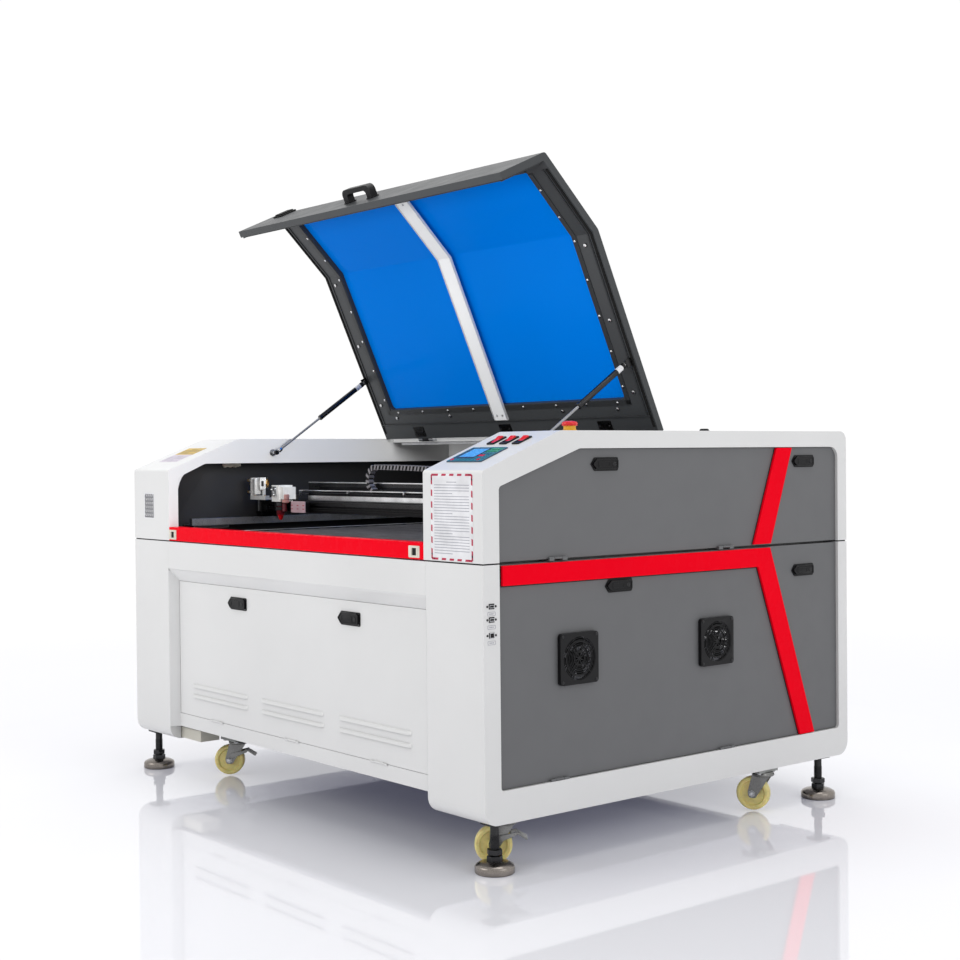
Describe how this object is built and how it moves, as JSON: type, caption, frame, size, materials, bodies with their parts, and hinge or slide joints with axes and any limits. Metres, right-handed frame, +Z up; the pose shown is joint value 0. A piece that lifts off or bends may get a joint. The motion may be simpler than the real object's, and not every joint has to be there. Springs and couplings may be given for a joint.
{
  "type": "laser engraver",
  "caption": "Cabinet laser engraver with a gull-wing lid on gas struts, moving gantry, lifting table, hinged side panels, casters and levelling feet.",
  "frame": {"origin": "on the floor under the middle of the cabinet", "axes": "+X to the right seen from the front, +Y to the back, +Z up"},
  "size_m": [1.929, 1.48, 1.9356],
  "materials": {
    "white_paint": "satin powder coat",
    "grey_paint": "fine-textured powder coat",
    "charcoal_paint": "satin powder coat",
    "red_paint": "gloss",
    "blue_acrylic": "gloss, tinted",
    "black_plastic": "moulded",
    "red_plastic": "moulded",
    "yellow_plastic": "moulded",
    "cream_nylon": "moulded",
    "black_oxide": "black oxide",
    "zinc_steel": "zinc plated",
    "foot_steel": "cast, nickel sheen",
    "aluminium": "satin anodised",
    "dark_aluminium": "black anodised",
    "tube_glass": "clear"
  },
  "bodies": {
    "cabinet": {"welded_frame": "charcoal_paint", "left_stand": "white_paint", "right_stand": "white_paint", "left_housing": "white_paint", "right_housing": "white_paint", "front_fascia": "white_paint", "front_sill": "red_paint", "work_tub": "charcoal_paint", "rear_deck": "white_paint", "rear_panel": "white_paint", "control_panel": "black_plastic", "port_sockets": "zinc_steel", "stop_base": "yellow_plastic", "fixed_pivots": "zinc_steel", "y_rails": "aluminium", "lift_screws": "zinc_steel", "laser_tube": "tube_glass", "tube_brackets": "aluminium", "power_supply": "zinc_steel"},
    "lid": {"lid_frame": "charcoal_paint", "lid_window": "blue_acrylic", "lid_centre_bar": "aluminium", "lid_handle": "black_plastic", "lid_screws": "zinc_steel", "lid_pivots": "black_oxide"},
    "left_strut_tube": {"left_strut_tube": "black_oxide"},
    "left_strut_rod": {"left_strut_rod": "zinc_steel"},
    "right_strut_tube": {"right_strut_tube": "black_oxide"},
    "right_strut_rod": {"right_strut_rod": "zinc_steel"},
    "front_door": {"front_door": "white_paint"},
    "front_door_latches": {"front_door_latches": "black_plastic"},
    "right_upper_panel": {"right_upper_panel": "grey_paint", "right_upper_stripe": "red_paint"},
    "right_upper_latches": {"right_upper_latches": "black_plastic"},
    "right_lower_panel": {"right_lower_panel": "grey_paint", "right_lower_stripe": "red_paint", "vent_guards": "black_plastic"},
    "right_lower_latches": {"right_lower_latches": "black_plastic"},
    "front_fan": {"front_fan": "black_plastic"},
    "rear_fan": {"rear_fan": "black_plastic"},
    "left_upper_panel": {"left_upper_panel": "grey_paint"},
    "left_lower_panel": {"left_lower_panel": "grey_paint"},
    "gantry": {"gantry_beam": "dark_aluminium", "mirror_mount": "aluminium", "drag_chain": "black_plastic"},
    "laser_head": {"laser_head": "aluminium"},
    "table": {"honeycomb_table": "dark_aluminium"},
    "stop_button": {"stop_button": "red_plastic"},
    "left_rocker": {"left_rocker": "red_plastic"},
    "middle_rocker": {"middle_rocker": "red_plastic"},
    "right_rocker": {"right_rocker": "red_plastic"},
    "levelling_feet": {"levelling_feet": "foot_steel"},
    "front_left_fork": {"front_left_fork": "zinc_steel"},
    "front_left_wheel": {"front_left_wheel": "cream_nylon"},
    "front_right_fork": {"front_right_fork": "zinc_steel"},
    "front_right_wheel": {"front_right_wheel": "cream_nylon"},
    "rear_left_fork": {"rear_left_fork": "zinc_steel"},
    "rear_left_wheel": {"rear_left_wheel": "cream_nylon"},
    "rear_right_fork": {"rear_right_fork": "zinc_steel"},
    "rear_right_wheel": {"rear_right_wheel": "cream_nylon"}
  },
  "joints": [
    {"name": "lid_hinge", "type": "hinge", "parent": "cabinet", "child": "lid", "pos_m": [0, 0.1825, 1.138], "axis": [1, 0, 0], "range_deg": [0, 65.4]},
    {"name": "left_strut_pivot", "type": "hinge", "parent": "lid", "child": "left_strut_tube", "pos_m": [-0.676, 0.05038, 1.34971], "axis": [1, 0, 0], "range_deg": [-96.65, 0.05]},
    {"name": "left_strut_stroke", "type": "slide", "parent": "left_strut_tube", "child": "left_strut_rod", "axis": [0, 0.8312, 0.5559], "range_m": [-0.0001, 0.19283]},
    {"name": "right_strut_pivot", "type": "hinge", "parent": "lid", "child": "right_strut_tube", "pos_m": [0.676, 0.05038, 1.34971], "axis": [1, 0, 0], "range_deg": [-96.65, 0.05]},
    {"name": "right_strut_stroke", "type": "slide", "parent": "right_strut_tube", "child": "right_strut_rod", "axis": [0, 0.8312, 0.5559], "range_m": [-0.0001, 0.19283]},
    {"name": "front_door_hinge", "type": "hinge", "parent": "cabinet", "child": "front_door", "pos_m": [0, -0.7125, 0.2205], "axis": [1, 0, 0], "range_deg": [0, 90]},
    {"name": "front_door_latch_pivot", "type": "hinge", "parent": "front_door", "child": "front_door_latches", "pos_m": [0, -0.714, 0.629], "axis": [-1, 0, 0], "range_deg": [0, 40]},
    {"name": "right_upper_panel_hinge", "type": "hinge", "parent": "cabinet", "child": "right_upper_panel", "pos_m": [0.947, 0, 0.8055], "axis": [0, 1, 0], "range_deg": [0, 90]},
    {"name": "right_lower_panel_hinge", "type": "hinge", "parent": "cabinet", "child": "right_lower_panel", "pos_m": [0.947, 0, 0.2195], "axis": [0, 1, 0], "range_deg": [0, 90]},
    {"name": "left_upper_panel_hinge", "type": "hinge", "parent": "cabinet", "child": "left_upper_panel", "pos_m": [-0.947, 0, 0.8055], "axis": [0, -1, 0], "range_deg": [0, 90]},
    {"name": "left_lower_panel_hinge", "type": "hinge", "parent": "cabinet", "child": "left_lower_panel", "pos_m": [-0.947, 0, 0.2195], "axis": [0, -1, 0], "range_deg": [0, 90]},
    {"name": "right_upper_latch_pivot", "type": "hinge", "parent": "right_upper_panel", "child": "right_upper_latches", "pos_m": [0.944, 0, 1.064], "axis": [0, -1, 0], "range_deg": [0, 40]},
    {"name": "right_lower_latch_pivot", "type": "hinge", "parent": "right_lower_panel", "child": "right_lower_latches", "pos_m": [0.944, 0, 0.732], "axis": [0, -1, 0], "range_deg": [0, 40]},
    {"name": "front_fan_spin", "type": "hinge", "parent": "right_lower_panel", "child": "front_fan", "pos_m": [0.941, -0.41, 0.534], "axis": [1, 0, 0], "continuous": true},
    {"name": "rear_fan_spin", "type": "hinge", "parent": "right_lower_panel", "child": "rear_fan", "pos_m": [0.941, 0.135, 0.534], "axis": [1, 0, 0], "continuous": true},
    {"name": "gantry_travel", "type": "slide", "parent": "cabinet", "child": "gantry", "axis": [0, 1, 0], "range_m": [-0.17, 0.68]},
    {"name": "head_travel", "type": "slide", "parent": "gantry", "child": "laser_head", "axis": [1, 0, 0], "range_m": [-0.05, 1.17]},
    {"name": "table_lift", "type": "slide", "parent": "cabinet", "child": "table", "axis": [0, 0, 1], "range_m": [-0.2, 0]},
    {"name": "stop_press", "type": "slide", "parent": "cabinet", "child": "stop_button", "axis": [0, 0, 1], "range_m": [-0.005, 0]},
    {"name": "left_rocker_pivot", "type": "hinge", "parent": "cabinet", "child": "left_rocker", "pos_m": [0.771, -0.53946, 1.11553], "axis": [-1, 0, 0], "range_deg": [0, 16]},
    {"name": "middle_rocker_pivot", "type": "hinge", "parent": "cabinet", "child": "middle_rocker", "pos_m": [0.823, -0.53946, 1.11553], "axis": [-1, 0, 0], "range_deg": [0, 16]},
    {"name": "right_rocker_pivot", "type": "hinge", "parent": "cabinet", "child": "right_rocker", "pos_m": [0.875, -0.53946, 1.11553], "axis": [-1, 0, 0], "range_deg": [0, 16]},
    {"name": "front_left_swivel", "type": "hinge", "parent": "cabinet", "child": "front_left_fork", "pos_m": [-0.601, -0.542, 0.115], "axis": [0, 0, 1], "continuous": true},
    {"name": "front_left_wheel_spin", "type": "hinge", "parent": "front_left_fork", "child": "front_left_wheel", "pos_m": [-0.62004, -0.56518, 0.055], "axis": [0.7727, -0.6347, 0], "continuous": true},
    {"name": "front_right_swivel", "type": "hinge", "parent": "cabinet", "child": "front_right_fork", "pos_m": [0.869, -0.607, 0.115], "axis": [0, 0, 1], "range_deg": [-225, 11]},
    {"name": "front_right_wheel_spin", "type": "hinge", "parent": "front_right_fork", "child": "front_right_wheel", "pos_m": [0.84996, -0.63018, 0.055], "axis": [0.7727, -0.6347, 0], "continuous": true},
    {"name": "rear_left_swivel", "type": "hinge", "parent": "cabinet", "child": "rear_left_fork", "pos_m": [-0.601, 0.373, 0.115], "axis": [0, 0, 1], "continuous": true},
    {"name": "rear_left_wheel_spin", "type": "hinge", "parent": "rear_left_fork", "child": "rear_left_wheel", "pos_m": [-0.62004, 0.34982, 0.055], "axis": [0.7727, -0.6347, 0], "continuous": true},
    {"name": "rear_right_swivel", "type": "hinge", "parent": "cabinet", "child": "rear_right_fork", "pos_m": [0.926, 0.363, 0.115], "axis": [0, 0, 1], "continuous": true},
    {"name": "rear_right_wheel_spin", "type": "hinge", "parent": "rear_right_fork", "child": "rear_right_wheel", "pos_m": [0.89892, 0.35008, 0.055], "axis": [0.4305, -0.9026, 0], "continuous": true},
    {"name": "feet_levelling", "type": "slide", "parent": "cabinet", "child": "levelling_feet", "axis": [0, 0, 1], "range_m": [-0.03, 0.02]}
  ],
  "couplings": [
    {"joint": "left_strut_pivot", "follows": "lid_hinge", "ratio": -1.4771},
    {"joint": "left_strut_stroke", "follows": "lid_hinge", "m_per_rad": 0.16885},
    {"joint": "right_strut_pivot", "follows": "lid_hinge", "ratio": -1.4771},
    {"joint": "right_strut_stroke", "follows": "lid_hinge", "m_per_rad": 0.16885}
  ]
}
